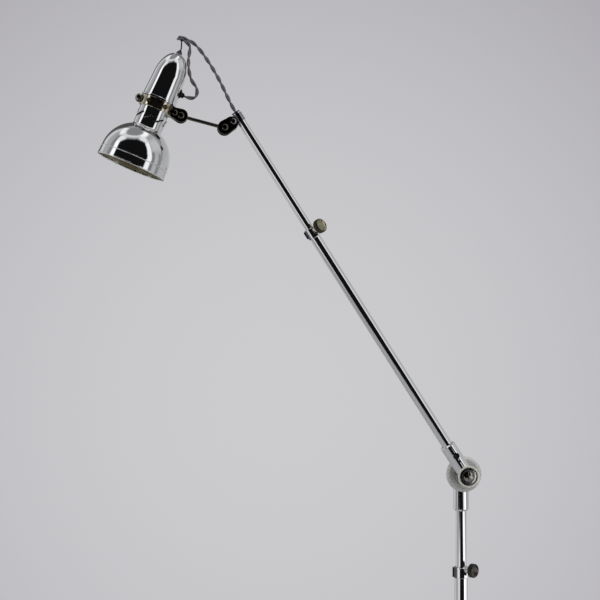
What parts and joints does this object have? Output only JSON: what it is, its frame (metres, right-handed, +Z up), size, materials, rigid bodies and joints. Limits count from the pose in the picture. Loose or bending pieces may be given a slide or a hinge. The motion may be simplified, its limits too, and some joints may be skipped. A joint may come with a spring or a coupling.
{
  "type": "adjustable arm floor lamp",
  "caption": "Floor lamp with a telescopic pole, a tilting telescopic arm and a bell shade hung on a short link, for light that is aimed by hand.",
  "frame": {"origin": "middle of the base's underside, on the floor", "axes": "+Z up along the pole; the arm leans towards -X; the front of the lamp faces -Y"},
  "size_m": [0.8397, 0.3, 1.8333],
  "materials": {
    "chrome": "polished",
    "black_nickel": "polished dark nickel",
    "aged_nickel": "aged nickel plate",
    "dark_steel": "blackened",
    "zinc_steel": "zinc plated",
    "brass": "aged",
    "cast_iron": "as cast",
    "felt": "felt",
    "rubber": "matt",
    "cloth_flex": "braided cloth",
    "nylon": "natural",
    "fibre": "vulcanised fibre",
    "phenolic": "moulded",
    "bulb_glass": "opal"
  },
  "bodies": {
    "stand": {"base_felt": "felt", "base_weight": "cast_iron", "base_cover": "chrome", "base_nut": "zinc_steel", "cord_gland": "rubber", "pole_socket": "chrome", "socket_grub_screws": "dark_steel", "outer_pole_tube": "chrome", "pole_collar": "chrome", "pole_collar_grub_screw": "dark_steel"},
    "pole_pad": {"pole_pressure_pad": "brass"},
    "pole_screw": {"pole_thumbscrew": "black_nickel"},
    "pole_slider": {"pole_guide_bush": "nylon"},
    "mast": {"inner_pole_tube": "chrome", "pole_end_plug": "nylon", "elbow_post": "chrome", "post_grub_screw": "dark_steel", "friction_washer": "fibre", "elbow_cup_washer": "black_nickel", "elbow_bolt": "aged_nickel", "elbow_spring_washer": "zinc_steel", "elbow_nut": "zinc_steel"},
    "arm_outer": {"arm_socket": "chrome", "arm_socket_screw": "dark_steel", "outer_arm_tube": "chrome", "arm_collar": "chrome", "arm_collar_grub_screw": "dark_steel"},
    "arm_pad": {"arm_pressure_pad": "brass"},
    "arm_screw": {"arm_thumbscrew": "aged_nickel"},
    "arm_slider": {"arm_guide_bush": "nylon"},
    "arm_inner": {"inner_arm_tube": "chrome", "arm_end_plug": "nylon", "arm_end_fitting": "black_nickel", "lug_screw": "aged_nickel", "mouth_bush": "rubber", "arm_fork": "black_nickel", "arm_pivot_screw": "aged_nickel", "arm_pivot_nut": "dark_steel", "flex_lower": "cloth_flex"},
    "rod": {"link_rod": "black_nickel"},
    "head": {"head_fork": "black_nickel", "head_fork_screw": "aged_nickel", "head_pivot_screw": "aged_nickel", "head_pivot_nut": "dark_steel", "clamp_band": "aged_nickel", "band_screws": "brass", "band_clamp_screw": "aged_nickel", "band_clamp_nut": "dark_steel", "shade": "chrome", "bullet_cover": "chrome", "flex_grommet": "rubber", "lampholder": "phenolic", "shade_ring": "phenolic", "crown_nipple": "zinc_steel", "crown_boss": "black_nickel", "bulb_glass": "bulb_glass", "bulb_cap": "brass", "wire_hook": "dark_steel", "flex_upper": "cloth_flex"}
  },
  "joints": [
    {"name": "pole_height", "type": "slide", "parent": "stand", "child": "pole_slider", "axis": [0, 0, 1], "range_m": [-0.1, 0.42]},
    {"name": "pole_swivel", "type": "hinge", "parent": "pole_slider", "child": "mast", "pos_m": [0, 0, 0.82], "axis": [0, 0, 1], "range_deg": [-175, 175]},
    {"name": "elbow_tilt", "type": "hinge", "parent": "mast", "child": "arm_outer", "pos_m": [0, -0.0455, 1.02], "axis": [0, 1, 0], "range_deg": [-75, 30]},
    {"name": "arm_extend", "type": "slide", "parent": "arm_outer", "child": "arm_slider", "axis": [-0.5417, 0, 0.8406], "range_m": [-0.2, 0.2]},
    {"name": "arm_roll", "type": "hinge", "parent": "arm_slider", "child": "arm_inner", "pos_m": [0, -0.0455, 1.02], "axis": [-0.5417, 0, 0.8406], "range_deg": [-90, 90]},
    {"name": "rod_tilt", "type": "hinge", "parent": "arm_inner", "child": "rod", "pos_m": [-0.45527, -0.0455, 1.66644], "axis": [0, 1, 0], "range_deg": [-40, 25], "deforming": ["flex_lower"]},
    {"name": "head_tilt", "type": "hinge", "parent": "rod", "child": "head", "pos_m": [-0.53534, -0.0455, 1.6867], "axis": [0, 1, 0], "range_deg": [-40, 50], "deforming": ["flex_upper"]},
    {"name": "pole_pad_travel", "type": "slide", "parent": "stand", "child": "pole_pad", "axis": [0.6428, -0.766, 0], "range_m": [0, 0.0016]},
    {"name": "pole_screw_turn", "type": "hinge", "parent": "pole_pad", "child": "pole_screw", "pos_m": [0, 0, 0.8365], "axis": [0.6428, -0.766, 0], "range_deg": [0, 720]},
    {"name": "arm_pad_travel", "type": "slide", "parent": "arm_outer", "child": "arm_pad", "axis": [0.5403, -0.766, 0.3482], "range_m": [0, 0.0016]},
    {"name": "arm_screw_turn", "type": "hinge", "parent": "arm_pad", "child": "arm_screw", "pos_m": [-0.29496, -0.0455, 1.47769], "axis": [0.5403, -0.766, 0.3482], "range_deg": [0, 720]}
  ],
  "couplings": [
    {"joint": "pole_pad_travel", "follows": "pole_screw_turn", "m_per_rad": 0.00012731},
    {"joint": "arm_pad_travel", "follows": "arm_screw_turn", "m_per_rad": 0.00012731}
  ]
}
